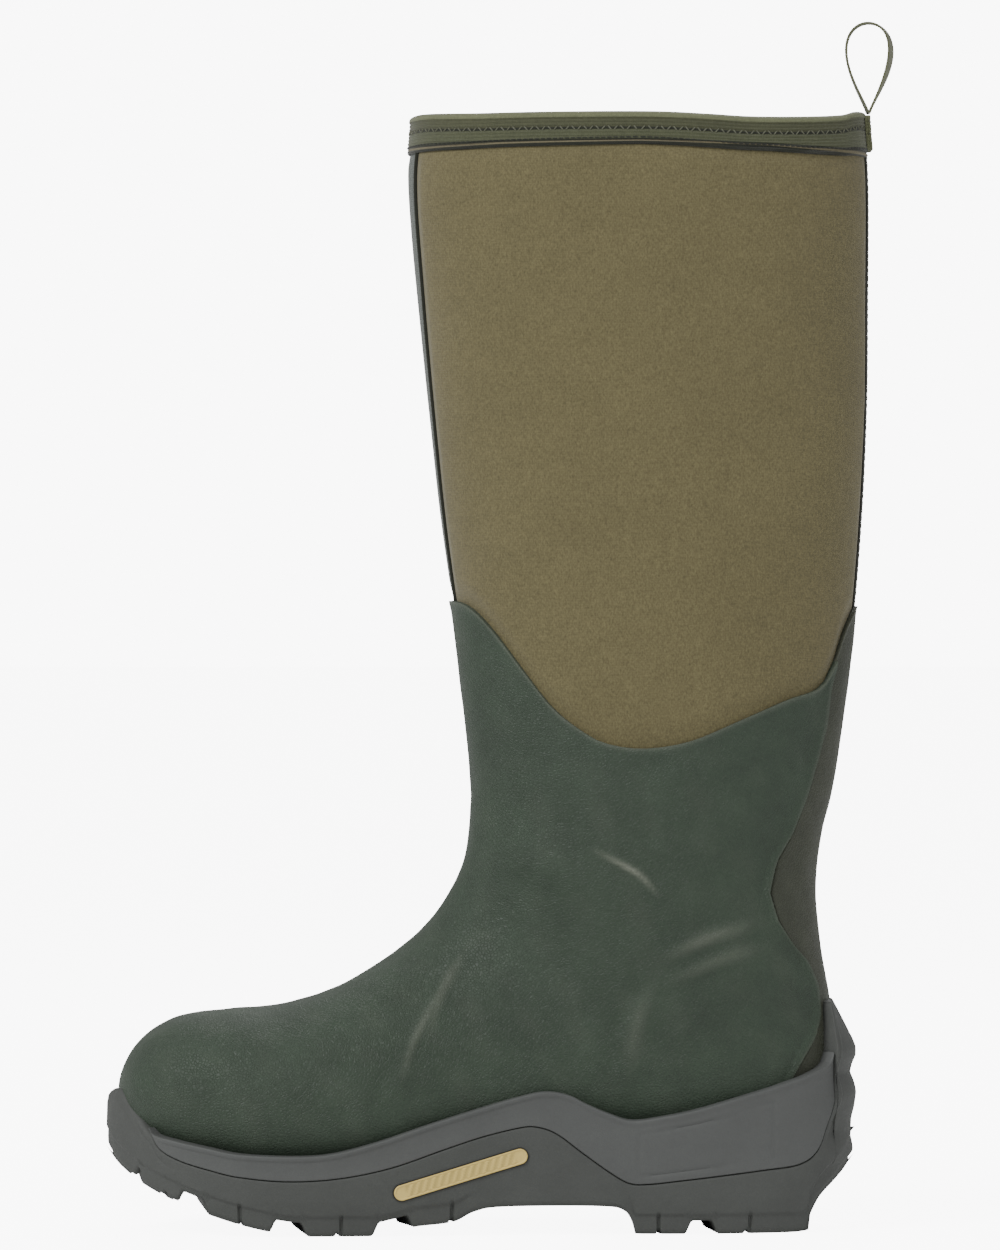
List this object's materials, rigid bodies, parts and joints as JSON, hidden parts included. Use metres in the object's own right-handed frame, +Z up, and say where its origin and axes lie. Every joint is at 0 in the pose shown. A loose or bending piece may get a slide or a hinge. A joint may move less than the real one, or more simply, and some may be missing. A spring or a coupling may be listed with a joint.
{
  "type": "insulated hunting boot",
  "caption": "Knee-high pull-on rubber boot for the right foot: neoprene shaft with a pull loop, rubber foot, wavy midsole and lugged sole, lined and insoled inside.",
  "frame": {"origin": "middle of the bounding box on the ground that the boot stands on", "axes": "+Z up, -X towards the toe, -Y towards the inner (medial) side of a right foot"},
  "size_m": [0.325, 0.1156, 0.4985],
  "materials": {
    "sole_rubber": "matt moulded grey-green rubber",
    "midsole_foam": "matt moulded foam skin",
    "gold_inlay": "satin metallic-gold plastic",
    "green_rubber": "semi-matt dark green hand-laid rubber",
    "grey_green_rubber": "semi-matt grey-green rubber",
    "tan_neoprene": "tan knit face on foam neoprene",
    "grey_strip": "textured grey-green reinforcing fabric",
    "dark_piping": "dark woven tape",
    "olive_tape": "ribbed olive stretch tape and webbing",
    "black_neoprene": "black foam neoprene",
    "lining_jersey": "brushed jersey",
    "fibre_board": "pressed fibre board",
    "spring_steel": "rolled spring steel",
    "grey_felt": "pressed wool felt",
    "black_foam": "moulded foam",
    "footbed_cloth": "brushed knit cloth"
  },
  "bodies": {
    "boot": {"outsole": "sole_rubber", "midsole": "midsole_foam", "badge_medial": "gold_inlay", "badge_lateral": "gold_inlay", "rubber_vamp": "green_rubber", "rubber_back_stay": "grey_green_rubber", "side_panel_medial": "tan_neoprene", "side_panel_lateral": "tan_neoprene", "front_panel": "grey_strip", "front_piping_medial": "dark_piping", "front_piping_lateral": "dark_piping", "back_seam_tape": "dark_piping", "top_binding": "olive_tape", "pull_loop_tail": "olive_tape", "foot_bootie": "black_neoprene", "lining_shaft": "lining_jersey", "lining_foot": "lining_jersey", "toe_puff": "fibre_board", "heel_counter": "fibre_board", "lasting_board": "fibre_board", "shank": "spring_steel", "thermal_underlay": "grey_felt"},
    "loop": {"pull_loop": "olive_tape"},
    "insole": {"footbed": "black_foam", "footbed_cover": "footbed_cloth"}
  },
  "joints": [
    {"name": "pull_loop_fold", "type": "hinge", "parent": "boot", "child": "loop", "pos_m": [0.15275, 0, 0.4615], "axis": [0, 1, 0], "range_deg": [-55, 85], "stiffness_Nm_per_rad": 0.01},
    {"name": "footbed_lift", "type": "hinge", "parent": "boot", "child": "insole", "pos_m": [-0.13697, 0, 0.04402], "axis": [0, -1, 0], "range_deg": [0, 15]}
  ]
}
